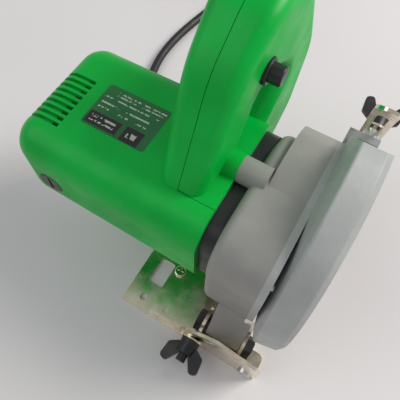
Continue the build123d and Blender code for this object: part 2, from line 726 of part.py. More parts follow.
with BuildPart() as base_plate:
    extrude(outline(Plane.XY, base_corners), amount=BASE_T)
    with BuildSketch(Plane.XY):
        with Locations((-29, -36.5)):
            RectangleRounded(11, 19, 1.5)
        with Locations((-31, -57)):
            Circle(2.4)
    extrude(amount=BASE_T, mode=Mode.SUBTRACT)
    with BuildSketch(xz(BASE_FRONT + SHEET_T)):
        with BuildLine():
            start = quadrant_point(0)
            knee = quadrant_point(62)
            middle = quadrant_point(31)
            Polyline((3, 0), start)
            ThreePointArc(start, middle, knee)
            Polyline(knee, (BASE_RIGHT - 3, 36), (BASE_RIGHT, 30), (BASE_RIGHT, 0), (3, 0))
        make_face()
        with Locations(BEVEL):
            Circle(PIN_RADIUS, mode=Mode.SUBTRACT)
        # curved slot that the bevel stud travels along
        with BuildLine():
            high_angle = BEVEL_SLOT_LOW - BEVEL_RANGE
            half_slot = BEVEL_SLOT_WIDTH / 2
            far = CenterArc(BEVEL, BEVEL_BOLT_RADIUS + half_slot, high_angle, BEVEL_RANGE)
            near = CenterArc(BEVEL, BEVEL_BOLT_RADIUS - half_slot, high_angle, BEVEL_RANGE)
            Line(far @ 0, near @ 0)
            Line(far @ 1, near @ 1)
        make_face(mode=Mode.SUBTRACT)
        for angle in (high_angle, BEVEL_SLOT_LOW):
            with Locations(BEVEL):
                with PolarLocations(BEVEL_BOLT_RADIUS, 1, start_angle=angle):
                    Circle(half_slot, mode=Mode.SUBTRACT)
    extrude(amount=SHEET_T)
    with BuildSketch(xz(REAR_TAB_Y + SHEET_T)):
        with Locations(BEVEL):
            Circle(EAR_RADIUS)
        with Locations((BEVEL_X, BEVEL_Z / 2)):
            Rectangle(2 * EAR_RADIUS, BEVEL_Z)
        with Locations(BEVEL):
            Circle(PIN_RADIUS, mode=Mode.SUBTRACT)
    extrude(amount=SHEET_T)
base_plate.part.label = "base_plate"
export_step(base_plate.part, "parts/base_plate.step")

with BuildPart() as bevel_pins:
    add(rod("Y", BEVEL, BASE_FRONT - 1.4, BASE_FRONT, 4.2))
    add(rod("Y", BEVEL, BASE_FRONT, -61.2, PIN_RADIUS))
    add(rod("Y", BEVEL, REAR_TAB_Y - 1.4, REAR_TAB_Y, 4.2))
    add(rod("Y", BEVEL, REAR_TAB_Y, 88.6, PIN_RADIUS))
bevel_pins.part.label = "bevel_pins"
export_step(bevel_pins.part, "parts/bevel_pins.step")

# ---- tilting bracket that carries the saw ----
FLANGE_Y = -63.8
CHEEK_RADIUS = 8.0
CHEEK_REAR_Y = -34.0
PIN_CLEARANCE = 0.05
REAR_EAR_Y = 86.1

bracket_corners = [
    (-21.5, FLANGE_Y, 0),
    (42.9, FLANGE_Y, 0),
    (42.9, -48, 0),
    (34, -44, 0),
    (34, 80, 3),
    (44, 89, 0),
    (58, 89, 0),
    (58, 101, 3),
    (-5, 101, 6),
    (-21.5, 80, 6),
]

with BuildPart() as tilt_bracket:
    extrude(outline(Plane.XY.offset(PLATE_Z), bracket_corners), amount=SHEET_T)
    # flange behind the quadrant with the bolt hole and pivot ear
    with BuildSketch(xz(FLANGE_Y + SHEET_T)):
        with BuildLine():
            Polyline(
                (-21.5, PLATE_Z),
                (-21.5, 6.5),
                (2, 9),
                (8, 20.5),
                (17, 21.5),
                (24, 13.6),
                (BEVEL_X, 13.6),
                (BEVEL_X + EAR_RADIUS, BEVEL_Z),
                (BEVEL_X, 2.4),
                (BEVEL_X - 4, PLATE_Z),
                close=True,
            )
        make_face()
        with Locations((BEVEL_BOLT_X, BEVEL_BOLT_Z)):
            Circle(8)
        with Locations(BEVEL):
            Circle(EAR_RADIUS)
        with Locations((BEVEL_BOLT_X, BEVEL_BOLT_Z)):
            Circle(3.05, mode=Mode.SUBTRACT)
        with Locations(BEVEL):
            Circle(PIN_RADIUS + PIN_CLEARANCE, mode=Mode.SUBTRACT)
    extrude(amount=SHEET_T)
    # two cheeks for the depth pivot
    for x in (LEFT_CHEEK_X, RIGHT_CHEEK_X):
        with BuildSketch(yz(x)):
            with BuildLine():
                FilletPolyline(
                    (FLANGE_Y + SHEET_T, PLATE_Z),
                    (FLANGE_Y + SHEET_T, DEPTH_PIVOT_Z + CHEEK_RADIUS),
                    (DEPTH_PIVOT_Y + CHEEK_RADIUS, DEPTH_PIVOT_Z + CHEEK_RADIUS),
                    (CHEEK_REAR_Y, PLATE_Z),
                    radius=[0, 7.8, 7.8, 0],
                    close=True,
                )
            make_face()
            with Locations(PIVOT):
                Circle(4.0, mode=Mode.SUBTRACT)
        extrude(amount=CHEEK_T - 0.1)
    # rear pivot ear
    with BuildSketch(xz(REAR_EAR_Y + SHEET_T)):
        with Locations(BEVEL):
            Circle(EAR_RADIUS)
        with Locations((BEVEL_X, 5.1)):
            Rectangle(2 * EAR_RADIUS, 2 * (5.1 - PLATE_Z))
        with Locations(BEVEL):
            Circle(PIN_RADIUS + PIN_CLEARANCE, mode=Mode.SUBTRACT)
    extrude(amount=SHEET_T)
    with BuildSketch(Plane.XY.offset(PLATE_Z)):
        with Locations((BEVEL_X, (REAR_EAR_Y + 91) / 2)):
            Rectangle(2 * EAR_RADIUS, 91 - REAR_EAR_Y)
    extrude(amount=SHEET_T)
    with BuildSketch(Plane.XY.offset(PLATE_Z)):
        with Locations((-13, -58)):
            Circle(1.7)
        with Locations((49, 95)):
            with Locations((-3.6, 0), (3.6, 0)):
                Circle(1.5)
    extrude(amount=SHEET_T, mode=Mode.SUBTRACT)
tilt_bracket.part.label = "tilt_bracket"
export_step(tilt_bracket.part, "parts/tilt_bracket.step")

# ---- curved depth link, concentric with the pivot ----
LINK_WIDTH = 14.5
LINK_T = 2.0
LINK_SLOT = 7.0
LINK_INNER = LINK_RADIUS - LINK_T / 2
LINK_OUTER = LINK_RADIUS + LINK_T / 2
LINK_TOP_ANGLE = 38.0
SLOT_LOW_ANGLE = STUD_ANGLE - DEPTH_LOWER - 1.3
SLOT_HIGH_ANGLE = STUD_ANGLE + DEPTH_RAISE + 1.3
FOOT_Z = PLATE_Z + SHEET_T


def arc_point(radius, angle):
    """Point in the (Y, Z) plane at an angle about the depth pivot."""
    a = radians(angle)
    return (DEPTH_PIVOT_Y + radius * cos(a), DEPTH_PIVOT_Z + radius * sin(a))


foot_angle = degrees(atan2(FOOT_Z - DEPTH_PIVOT_Z, 156))
with BuildPart() as depth_link:
    with BuildSketch(yz(LINK_X)):
        with BuildLine():
            outer_end = arc_point(LINK_OUTER, LINK_TOP_ANGLE)
            inner_end = arc_point(LINK_INNER, LINK_TOP_ANGLE)
            outer_foot = arc_point(LINK_OUTER, foot_angle)
            inner_foot = arc_point(LINK_INNER, foot_angle)
            mid_angle = (foot_angle + LINK_TOP_ANGLE) / 2
            ThreePointArc(outer_foot, arc_point(LINK_OUTER, mid_angle), outer_end)
            Line(outer_end, inner_end)
            ThreePointArc(inner_end, arc_point(LINK_INNER, mid_angle), inner_foot)
            Line(inner_foot, outer_foot)
        make_face()
    extrude(amount=LINK_WIDTH / 2, both=True)
    with BuildSketch(yz(LINK_X)):
        with Locations((96.2, FOOT_Z + LINK_T / 2)):
            Rectangle(12.4, LINK_T)
    extrude(amount=LINK_WIDTH / 2, both=True)
    top_end = depth_link.faces().sort_by(Axis.Z)[-1]
    fillet(top_end.edges().filter_by(Axis.X, reverse=True), 6.6)
    # slot for the depth stud
    with BuildSketch(yz(LINK_X)):
        with BuildLine():
            slot_span = SLOT_HIGH_ANGLE - SLOT_LOW_ANGLE
            far = CenterArc(PIVOT, LINK_OUTER + 5, SLOT_LOW_ANGLE, slot_span)
            near = CenterArc(PIVOT, LINK_INNER - 5, SLOT_LOW_ANGLE, slot_span)
            Line(far @ 0, near @ 0)
            Line(far @ 1, near @ 1)
        make_face()
    extrude(amount=LINK_SLOT / 2, both=True, mode=Mode.SUBTRACT)
    for angle in (SLOT_LOW_ANGLE, SLOT_HIGH_ANGLE):
        with BuildSketch(link_plane(angle, 150)):
            Circle(LINK_SLOT / 2)
        extrude(amount=14, mode=Mode.SUBTRACT)
    with BuildSketch(Plane.XY.offset(FOOT_Z)):
        with Locations((49, 95)):
            with Locations((-3.6, 0), (3.6, 0)):
                Circle(1.5)
    extrude(amount=LINK_T, mode=Mode.SUBTRACT)
depth_link.part.label = "depth_link"
export_step(depth_link.part, "parts/depth_link.step")

with BuildPart() as link_rivets:
    for x in (45.4, 52.6):
        with Locations((x, 95, PLATE_Z)):
            Cylinder(1.5, FOOT_Z + LINK_T - PLATE_Z, align=(Align.CENTER, Align.CENTER, Align.MIN))
        with Locations((x, 95, FOOT_Z + LINK_T)):
            Cylinder(2.6, 1.2, align=(Align.CENTER, Align.CENTER, Align.MIN))
link_rivets.part.label = "link_rivets"
export_step(link_rivets.part, "parts/link_rivets.step")

with BuildPart() as bracket_screw:
    with Locations((-18, -30, FOOT_Z)):
        Cylinder(4.0, 2.2, align=(Align.CENTER, Align.CENTER, Align.MIN))
    fillet(bracket_screw.faces().sort_by(Axis.Z)[-1].edges(), 1.0)
    with BuildSketch(Plane.XY.offset(FOOT_Z + 2.2)):
        with Locations((-18, -30)):
            Rectangle(5, 1)
            Rectangle(1, 5)
    extrude(amount=-1.2, mode=Mode.SUBTRACT)
bracket_screw.part.label = "bracket_screw"
export_step(bracket_screw.part, "parts/bracket_screw.step")

# ---- bevel clamp ----
FRONT_NUT_Y = -67.0
BOLT_RADIUS = 2.97
NUT_BORE = 3.0
WING_TURN = 0.2

with BuildPart() as bevel_stud:
    add(rod("Y", (BEVEL_BOLT_X, BEVEL_BOLT_Z), -81, FLANGE_Y + SHEET_T, BOLT_RADIUS))
bevel_stud.part.label = "bevel_stud"
export_step(bevel_stud.part, "parts/bevel_stud.step")

with BuildPart() as bevel_washer:
    add(ring("Y", (BEVEL_BOLT_X, BEVEL_BOLT_Z), FRONT_NUT_Y, BASE_FRONT - 0.1, 7.0, 3.1))
bevel_washer.part.label = "bevel_washer"
export_step(bevel_washer.part, "parts/bevel_washer.step")


def wing_nut(plane):
    """Moulded wing nut standing on the plane, its wings along the plane's local x."""
    with BuildPart() as nut:
        with BuildSketch(plane):
            Circle(6.2)
        extrude(amount=9, taper=5)
        blade_face = Plane(origin=plane.origin, x_dir=plane.x_dir, z_dir=-plane.y_dir)
        with BuildSketch(blade_face):
            for side in (1, -1):
                with BuildLine():
                    FilletPolyline(
                        (side * 3, 1),
                        (side * 12.2, 6.5),
                        (side * 13.4, 16.5),
                        (side * 8.8, 18),
                        (side * 3, 8.9),
                        radius=[0, 2.2, 2.4, 2.2, 0],
                        close=True,
                    )
                make_face()
        extrude(amount=1.4, both=True)
        with BuildSketch(plane):
            Circle(NUT_BORE)
        extrude(amount=10, mode=Mode.SUBTRACT)
    return nut.part


front_seat = Plane(
    origin=(BEVEL_BOLT_X, FRONT_NUT_Y - 0.1, BEVEL_BOLT_Z),
    x_dir=(cos(WING_TURN), 0, sin(WING_TURN)),
    z_dir=(0, -1, 0),
)
with BuildPart() as front_wing_nut:
    add(wing_nut(front_seat))
front_wing_nut.part.label = "front_wing_nut"
export_step(front_wing_nut.part, "parts/front_wing_nut.step")

# ---- depth pivot ----
with BuildPart() as pivot_bolt:
    add(rod("X", PIVOT, 12.0, 48, 4.0))
    with BuildSketch(yz(10.2)):
        with Locations(PIVOT):
            RegularPolygon(6.9, 6)
    extrude(amount=LEFT_CHEEK_X - 10.2)
pivot_bolt.part.label = "pivot_bolt"
export_step(pivot_bolt.part, "parts/pivot_bolt.step")

with BuildPart() as pivot_nut:
    with BuildSketch(yz(RIGHT_CHEEK_X + CHEEK_T - 0.1)):
        with Locations(PIVOT):
            RegularPolygon(6.9, 6)
            Circle(4.0, mode=Mode.SUBTRACT)
    extrude(amount=4.6)
pivot_nut.part.label = "pivot_nut"
export_step(pivot_nut.part, "parts/pivot_nut.step")

with BuildPart() as pivot_bush:
    add(ring("X", PIVOT, LEFT_CHEEK_X + CHEEK_T - 0.1, LUG_LEFT - 0.1, 6.0, 4.05))
pivot_bush.part.label = "pivot_bush"
export_step(pivot_bush.part, "parts/pivot_bush.step")

# ---- depth clamp ----
STUD_END = 171.0
with BuildPart() as depth_stud:
    with BuildSketch(link_plane(STUD_ANGLE, STUD_SEAT)):
        Circle(BOLT_RADIUS)
    extrude(amount=STUD_END - STUD_SEAT)
depth_stud.part.label = "depth_stud"
export_step(depth_stud.part, "parts/depth_stud.step")

with BuildPart() as depth_spacer:
    with BuildSketch(link_plane(STUD_ANGLE, STUD_SEAT)):
        Circle(5.4)
        Circle(3.05, mode=Mode.SUBTRACT)
    extrude(amount=LINK_INNER - 0.1 - STUD_SEAT)
depth_spacer.part.label = "depth_spacer"
export_step(depth_spacer.part, "parts/depth_spacer.step")

with BuildPart() as depth_washer:
    with BuildSketch(link_plane(STUD_ANGLE, LINK_OUTER + 0.1)):
        Circle(7.0)
        Circle(3.05, mode=Mode.SUBTRACT)
    extrude(amount=1.4)
depth_washer.part.label = "depth_washer"
export_step(depth_washer.part, "parts/depth_washer.step")

with BuildPart() as rear_wing_nut:
    add(wing_nut(link_plane(STUD_ANGLE, LINK_OUTER + 1.6)))
rear_wing_nut.part.label = "rear_wing_nut"
export_step(rear_wing_nut.part, "parts/rear_wing_nut.step")

# ---- switch, trigger and lock button ----
LOCK_RADIUS = 4.8
LOCK_FACE_X = -5.0
GRIP = trigger_plane()


def along_grip(depth):
    """Plane of the trigger opening moved along its normal, out of the grip."""
    return GRIP.offset(depth)


with BuildPart() as trigger:
    with BuildSketch(along_grip(-9.5)):
        Rectangle(TRIGGER_WIDTH, TRIGGER_LENGTH)
    extrude(amount=16.5)
    fillet(trigger.faces().sort_by(Axis(GRIP.origin, GRIP.z_dir))[-1].edges(), 2.4)
    with BuildSketch(along_grip(-9.5)):
        Rectangle(TRIGGER_WIDTH + 3.2, TRIGGER_LENGTH + 3.2)
    extrude(amount=2)
trigger.part.label = "trigger"
export_step(trigger.part, "parts/trigger.step")

with BuildPart() as switch_plunger:
    with BuildSketch(along_grip(-20)):
        Circle(2.45)
    extrude(amount=10.5)
switch_plunger.part.label = "switch_plunger"
export_step(switch_plunger.part, "parts/switch_plunger.step")

with BuildPart() as power_switch:
    with BuildSketch(along_grip(-28)):
        Rectangle(16, 34)
    extrude(amount=12)
    with BuildSketch(along_grip(-26)):
        Circle(2.5)
    extrude(amount=12, mode=Mode.SUBTRACT)
power_switch.part.label = "power_switch"
export_step(power_switch.part, "parts/power_switch.step")

with BuildPart() as lock_button:
    add(rod("X", LOCK, LOCK_FACE_X - 10.2, LOCK_FACE_X + 7.8, LOCK_RADIUS))
    fillet(lock_button.faces().sort_by(Axis.X)[-1].edges(), 0.8)
    add(rod("X", LOCK, LOCK_FACE_X - 8.2, LOCK_FACE_X - 6.2, 6.2))
lock_button.part.label = "lock_button"
export_step(lock_button.part, "parts/lock_button.step")

with BuildPart() as lock_collar:
    add(ring("X", LOCK, LOCK_FACE_X - 4.5, LOCK_FACE_X + 1.6, 6.6, LOCK_RADIUS + 0.08))
    chamfer(lock_collar.faces().sort_by(Axis.X)[-1].outer_wire().edges(), 0.6)
lock_collar.part.label = "lock_collar"
export_step(lock_collar.part, "parts/lock_collar.step")

with BuildPart() as handle_screws:
    for y, z, half in HANDLE_SCREWS:
        seat = HANDLE_X - half + 3
        add(pan_screw(y, z, seat, half * 2 - 6, 1.6, 3.2, side=-1))
handle_screws.part.label = "handle_screws"
export_step(handle_screws.part, "parts/handle_screws.step")

# ---- cord guard, cord, coil and plug ----
CORD_RADIUS = CORD_DIA / 2
GUARD_TIP_X = -68.0

with BuildPart() as cord_guard:
    add(rod("X", CORD_EXIT, -34.1, -32.1, 7.1))
    add(rod("X", CORD_EXIT, -39.4, -34.1, 6.55))
    sleeve = Plane(origin=(-39.4, *CORD_EXIT), x_dir=(0, 1, 0), z_dir=(-1, 0, 0))
    with BuildSketch(sleeve):
        Circle(7.4)
    with BuildSketch(sleeve.offset(-39.4 - GUARD_TIP_X)):
        Circle(4.5)
    loft()
cord_guard.part.label = "cord_guard"
export_step(cord_guard.part, "parts/cord_guard.step")

FLOOR_Z = CORD_RADIUS + 0.05
CORD_ROUTE = [
    (GUARD_TIP_X, CORD_EXIT[0], CORD_EXIT[1]),
    (-92, 55, 75),
    (-113.3, 58, 60.5),
    (-122, 68, 38),
    (-126, 83, 18.5),
    (-131, 103, FLOOR_Z),
    (-137.5, 127, FLOOR_Z),
    (-138.5, 152, FLOOR_Z),
    (-135.5, 178, FLOOR_Z),
    (-130.4, 203, FLOOR_Z),
    (-126.5, 227, FLOOR_Z),
    (-124.4, 250, FLOOR_Z),
]
TAIL_ROUTE = [
    (-200.5, 314, 17.9),
    (-203.2, 302, 18.6),
    (-203.4, 292, 20.9),
    (-203, 282, 23.3),
]


def cord_tube(route):
    """Round cord along the route: straight runs joined by the largest even arcs."""
    points = [Vector(*p) for p in route]
    radii = []
    for before, corner, after in zip(points, points[1:], points[2:]):
        shorter = min((corner - before).length, (after - corner).length)
        half_turn = radians((corner - before).get_angle(after - corner)) / 2
        radii.append(0.45 * shorter / tan(half_turn))
    print("cord radii (mm):", [round(r, 1) for r in radii])
    with BuildPart() as tube:
        with BuildLine():
            FilletPolyline(*points, radius=radii)
        with BuildSketch(Plane(origin=points[0], z_dir=points[1] - points[0])):
            Circle(CORD_RADIUS)
        sweep()
    return tube.part


with BuildPart() as power_cord:
    add(cord_tube(CORD_ROUTE))
power_cord.part.label = "power_cord"
export_step(power_cord.part, "parts/power_cord.step")

with BuildPart() as cord_tail:
    add(cord_tube(TAIL_ROUTE))
cord_tail.part.label = "cord_tail"
export_step(cord_tail.part, "parts/cord_tail.step")

COIL_INNER = 23.0
COIL_OUTER = 53.0
COIL_HEIGHT = 14.4

with BuildPart() as cord_coil:
    with BuildSketch(Plane(origin=(*COIL_CENTER, 0), x_dir=(1, 0, 0), z_dir=(0, -1, 0))):
        with Locations(((COIL_INNER + COIL_OUTER) / 2, COIL_HEIGHT / 2 + 0.02)):
            RectangleRounded(COIL_OUTER - COIL_INNER, COIL_HEIGHT, 3.4)
    revolve(axis=Axis((*COIL_CENTER, 0), (0, 0, 1)))
cord_coil.part.label = "cord_coil"
export_step(cord_coil.part, "parts/cord_coil.step")

# plug: relief, body and pins in line with the end of the cord
tail_end = Vector(*TAIL_ROUTE[-1])
tail_run = tail_end - Vector(*TAIL_ROUTE[-2])
plug_along = Vector(tail_run.X, tail_run.Y, 0).normalized()
PLUG_AXIS = Plane(origin=tail_end, x_dir=(plug_along.Y, -plug_along.X, 0), z_dir=plug_along)
PLUG_BODY_START = 14.0
PLUG_BODY_LENGTH = 26.0
PIN_LENGTH = 19.0
PIN_SPACING = 19.0

with BuildPart() as plug_body:
    with BuildSketch(PLUG_AXIS):
        Circle(4.4)
    with BuildSketch(PLUG_AXIS.offset(PLUG_BODY_START)):
        Circle(6.2)
    loft()
    with BuildSketch(PLUG_AXIS.offset(PLUG_BODY_START)):
        RectangleRounded(20, 14, 5)
    with BuildSketch(PLUG_AXIS.offset(PLUG_BODY_START + PLUG_BODY_LENGTH)):
        RectangleRounded(30, 17.6, 7)
    loft()
plug_body.part.label = "plug_body"
export_step(plug_body.part, "parts/plug_body.step")

with BuildPart() as plug_pins:
    with BuildSketch(PLUG_AXIS.offset(PLUG_BODY_START + PLUG_BODY_LENGTH)):
        with Locations((-PIN_SPACING / 2, 0), (PIN_SPACING / 2, 0)):
            Circle(2.4)
    extrude(amount=PIN_LENGTH)
plug_pins.part.label = "plug_pins"
export_step(plug_pins.part, "parts/plug_pins.step")
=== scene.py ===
"""Studio scene of a hand-held stone trim saw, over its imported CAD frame."""
import bpy
from math import cos, pi, radians, sin
from mathutils import Euler, Matrix, Vector


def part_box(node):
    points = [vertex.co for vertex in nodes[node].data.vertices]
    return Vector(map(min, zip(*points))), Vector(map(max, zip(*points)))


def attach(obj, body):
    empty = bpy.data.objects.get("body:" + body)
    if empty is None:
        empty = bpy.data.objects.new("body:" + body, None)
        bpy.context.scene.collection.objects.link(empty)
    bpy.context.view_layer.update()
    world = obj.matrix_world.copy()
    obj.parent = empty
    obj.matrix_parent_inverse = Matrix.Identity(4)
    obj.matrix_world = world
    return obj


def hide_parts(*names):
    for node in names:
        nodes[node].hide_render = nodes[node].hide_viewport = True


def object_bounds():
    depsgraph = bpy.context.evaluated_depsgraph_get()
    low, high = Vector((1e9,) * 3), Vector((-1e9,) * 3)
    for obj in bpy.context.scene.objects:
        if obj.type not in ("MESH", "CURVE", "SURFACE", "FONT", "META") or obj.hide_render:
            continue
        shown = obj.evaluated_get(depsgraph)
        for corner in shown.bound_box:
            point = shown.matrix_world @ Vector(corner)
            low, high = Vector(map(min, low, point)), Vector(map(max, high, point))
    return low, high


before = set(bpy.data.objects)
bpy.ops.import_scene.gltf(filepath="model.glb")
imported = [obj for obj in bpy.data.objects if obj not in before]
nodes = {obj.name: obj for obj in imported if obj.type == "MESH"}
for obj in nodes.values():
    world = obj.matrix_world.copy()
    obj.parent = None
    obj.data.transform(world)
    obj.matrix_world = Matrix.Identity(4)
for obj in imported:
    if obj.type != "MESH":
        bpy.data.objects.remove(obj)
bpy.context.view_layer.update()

MM = 0.001

# ---- camera: high over the front right of the saw, close in ----
CAMERA_PLACE = Vector((35.5, -104.4, 299.3)) * MM
CAMERA_AZIMUTH = radians(28.4)
CAMERA_ELEVATION = radians(63.5)
CAMERA_ROLL = radians(2.2)
CAMERA_LENS = 39.5


def make_camera():
    data = bpy.data.cameras.new("camera")
    data.sensor_width = 36
    data.lens = CAMERA_LENS
    data.clip_start = 0.01
    camera = bpy.data.objects.new("camera", data)
    bpy.context.scene.collection.objects.link(camera)
    aim = Euler((pi / 2 - CAMERA_ELEVATION, 0, CAMERA_AZIMUTH)).to_matrix()
    turn = (aim @ Matrix.Rotation(CAMERA_ROLL, 3, "Z")).to_4x4()
    camera.matrix_world = Matrix.Translation(CAMERA_PLACE) @ turn
    bpy.context.scene.camera = camera


# ---- cord: out of its guard, down behind the motor, along the table, into a neat coil ----
CORD_DIAMETER = 7 * MM
FLOOR_LIFT = 3.55
CORD_ROUTE = [
    (-68, 55, 75),
    (-92, 55, 75),
    (-113.3, 58, 60.5),
    (-122, 68, 38),
    (-126, 83, 18.5),
    (-131, 103, FLOOR_LIFT),
    (-137.5, 127, FLOOR_LIFT),
    (-138.5, 152, FLOOR_LIFT),
    (-135.5, 178, FLOOR_LIFT),
    (-130.4, 203, FLOOR_LIFT),
    (-126.5, 227, FLOOR_LIFT),
    (-124.4, 250, FLOOR_LIFT),
]
TAIL_ROUTE = [
    (-200.5, 314, 17.9),
    (-203.2, 302, 18.6),
    (-203.4, 292, 20.9),
    (-203, 282, 23.3),
]
COIL_CENTER = (-170, 276)
COIL_TURNS = 6.3
POINTS_PER_TURN = 20
PITCH = 7.15
COIL_START_RADIUS = 45.5
COIL_SECOND_RADIUS = 26.6
TURN_INWARD_END = 2.5
TURN_OUTWARD_START = 3
TURN_OUTWARD_END = 5.5


def between(t, low, high):
    """0 before low, 1 after high, smooth from one to the other."""
    f = min(max((t - low) / (high - low), 0), 1)
    return f * f * (3 - 2 * f)


def coil_place(t):
    """Radius and height t turns into the coil: in along the table, then out on top."""
    if t < TURN_INWARD_END:
        radius = COIL_START_RADIUS - PITCH * t
    elif t < TURN_OUTWARD_START:
        innermost = COIL_START_RADIUS - PITCH * TURN_INWARD_END
        radius = innermost - between(t, TURN_INWARD_END, TURN_OUTWARD_START)
    else:
        outward = PITCH * (min(t, TURN_OUTWARD_END) - TURN_OUTWARD_START)
        radius = COIL_SECOND_RADIUS + outward + 0.8 * between(t, TURN_OUTWARD_END, COIL_TURNS)
    rise = between(t, 2.25, 2.7) + between(t, 5.35, 5.75)
    return radius, FLOOR_LIFT + PITCH * rise


def coil_points():
    points = []
    for i in range(1, int(COIL_TURNS * POINTS_PER_TURN)):
        t = i / POINTS_PER_TURN
        radius, height = coil_place(t)
        wide = radius / cos(pi / POINTS_PER_TURN) ** 0.5
        a = 2 * pi * t
        points.append((COIL_CENTER[0] + wide * cos(a), COIL_CENTER[1] + wide * sin(a), height))
    return points


def make_cord():
    points = CORD_ROUTE + coil_points() + TAIL_ROUTE
    data = bpy.data.curves.new("mains_cord", "CURVE")
    data.dimensions = "3D"
    data.bevel_depth = 1
    data.bevel_resolution = 6
    data.resolution_u = 6
    data.use_fill_caps = True
    spline = data.splines.new("NURBS")
    spline.points.add(len(points) - 1)
    for place, point in zip(points, spline.points):
        point.co = (*(Vector(place) * MM), 1)
        point.radius = CORD_DIAMETER / 2
    spline.order_u = 3
    spline.use_endpoint_u = True
    cord = bpy.data.objects.new("mains_cord", data)
    bpy.context.scene.collection.objects.link(cord)
    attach(cord, "saw_body")
    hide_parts("power_cord", "cord_coil", "cord_tail")
    return cord


# ---- materials ----
class Look:
    """A Principled material whose colour, roughness and relief come from procedural nodes."""

    def __init__(self, name, metallic=0.0, coat=0.0):
        self.material = bpy.data.materials.new(name)
        self.material.use_nodes = True
        self.tree = self.material.node_tree
        self.shader = self.tree.nodes["Principled BSDF"]
        self.shader.inputs["Metallic"].default_value = metallic
        self.shader.inputs["Coat Weight"].default_value = coat
        self.place = self.tree.nodes.new("ShaderNodeTexCoord").outputs["Object"]

    def node(self, kind, links=(), **settings):
        made = self.tree.nodes.new(kind)
        for key, value in settings.items():
            setattr(made, key, value)
        for socket, source in dict(links).items():
            if isinstance(source, bpy.types.NodeSocket):
                self.tree.links.new(source, made.inputs[socket])
            else:
                made.inputs[socket].default_value = source
        return made

    def noise(self, scale, detail=4.0, stretch=(1, 1, 1)):
        """Noise with features of about 1/scale metres, drawn out along an axis by the stretch."""
        mapped = self.node("ShaderNodeMapping", {"Vector": self.place, "Scale": stretch})
        links = {"Vector": mapped.outputs[0], "Scale": scale, "Detail": detail}
        return self.node("ShaderNodeTexNoise", links).outputs["Fac"]

    def ramp(self, source, low, high, start=0.0, end=1.0):
        """The source's 0..1 remapped to start..end between two thresholds."""
        links = {"Value": source, "From Min": low, "From Max": high, "To Min": start, "To Max": end}
        return self.node("ShaderNodeMapRange", links).outputs[0]

    def mix(self, factor, first, second):
        made = self.node("ShaderNodeMix", data_type="RGBA")
        for index, value in ((0, factor), (6, first), (7, second)):
            if isinstance(value, bpy.types.NodeSocket):
                self.tree.links.new(value, made.inputs[index])
            else:
                made.inputs[index].default_value = value if index == 0 else (*value, 1)
        return made.outputs[2]

    def math(self, operation, first, second):
        return self.node("ShaderNodeMath", {0: first, 1: second}, operation=operation).outputs[0]

    def color(self, source):
        self.tree.links.new(source, self.shader.inputs["Base Color"])

    def roughness(self, source):
        self.tree.links.new(source, self.shader.inputs["Roughness"])

    def relief(self, source, depth_mm):
        links = {"Height": source, "Distance": depth_mm * MM, "Strength": 1.0}
        bump = self.node("ShaderNodeBump", links)
        self.tree.links.new(bump.outputs[0], self.shader.inputs["Normal"])

    def give(self, *names):
        for name in names:
            piece = nodes[name] if isinstance(name, str) else name
            piece.data.materials.clear()
            piece.data.materials.append(self.material)


def moulded(name, base, dark, rough=0.36, grain=0.03):
    """Injection-moulded plastic: fine texture, faint flow shading and handling marks."""
    look = Look(name)
    flow = look.ramp(look.noise(26, 2), 0.35, 0.65)
    body = look.mix(flow, dark, base)
    scuff = look.ramp(look.noise(420, 5, (1, 1, 0.18)), 0.66, 0.74)
    pale = tuple(min(1.0, c * 1.25 + 0.05) for c in base)
    light_scuff = look.math("MULTIPLY", scuff, 0.22)
    look.color(look.mix(light_scuff, body, pale))
    smudge = look.ramp(look.noise(70, 4), 0.3, 0.7, rough - 0.07, rough + 0.12)
    look.roughness(look.math("ADD", smudge, look.math("MULTIPLY", scuff, 0.15)))
    look.relief(look.noise(2600, 2), grain)
    return look


def cast(name, base):
    """Painted die casting: slight orange peel, grime in patches and small bare chips."""
    look = Look(name)
    patch = look.ramp(look.noise(34, 5), 0.35, 0.68)
    darker = tuple(c * 0.84 for c in base)
    body = look.mix(patch, darker, base)
    chip = look.ramp(look.noise(260, 6), 0.73, 0.75)
    look.color(look.mix(look.math("MULTIPLY", chip, 0.4), body, (0.72, 0.73, 0.71)))
    look.roughness(look.ramp(look.noise(120, 4), 0.3, 0.7, 0.38, 0.56))
    peel = look.math("ADD", look.noise(700, 3), look.math("MULTIPLY", look.noise(180, 2), 1.6))
    look.relief(peel, 0.07)
    return look


def plated(name, base, stain, rough=0.26, stretch=(1, 0.05, 1), metallic=1.0):
    """Plated or turned metal: rolling lines along one axis, dull stains and fine scratches."""
    look = Look(name, metallic=metallic)
    patch = look.ramp(look.noise(60, 6), 0.42, 0.66)
    body = look.mix(patch, base, stain)
    lines = look.noise(1500, 3, stretch)
    bright = tuple(min(1.0, c * 1.15) for c in base)
    look.color(look.mix(look.ramp(lines, 0.5, 0.8, 0, 0.4), body, bright))
    look.roughness(look.ramp(look.noise(90, 5), 0.3, 0.7, rough - 0.08, rough + 0.16))
    look.relief(lines, 0.02)
    return look


def wound(name, base, gap, axis):
    """Windings or laminations: fine alternating bands along one axis."""
    look = Look(name, metallic=0.8)
    links = {"Vector": look.place, "Scale": 260, "Distortion": 0.6}
    bands = look.node("ShaderNodeTexWave", links, bands_direction=axis).outputs["Fac"]
    look.color(look.mix(bands, gap, base))
    look.roughness(look.ramp(look.noise(300), 0.3, 0.7, 0.35, 0.6))
    look.relief(bands, 0.08)
    return look


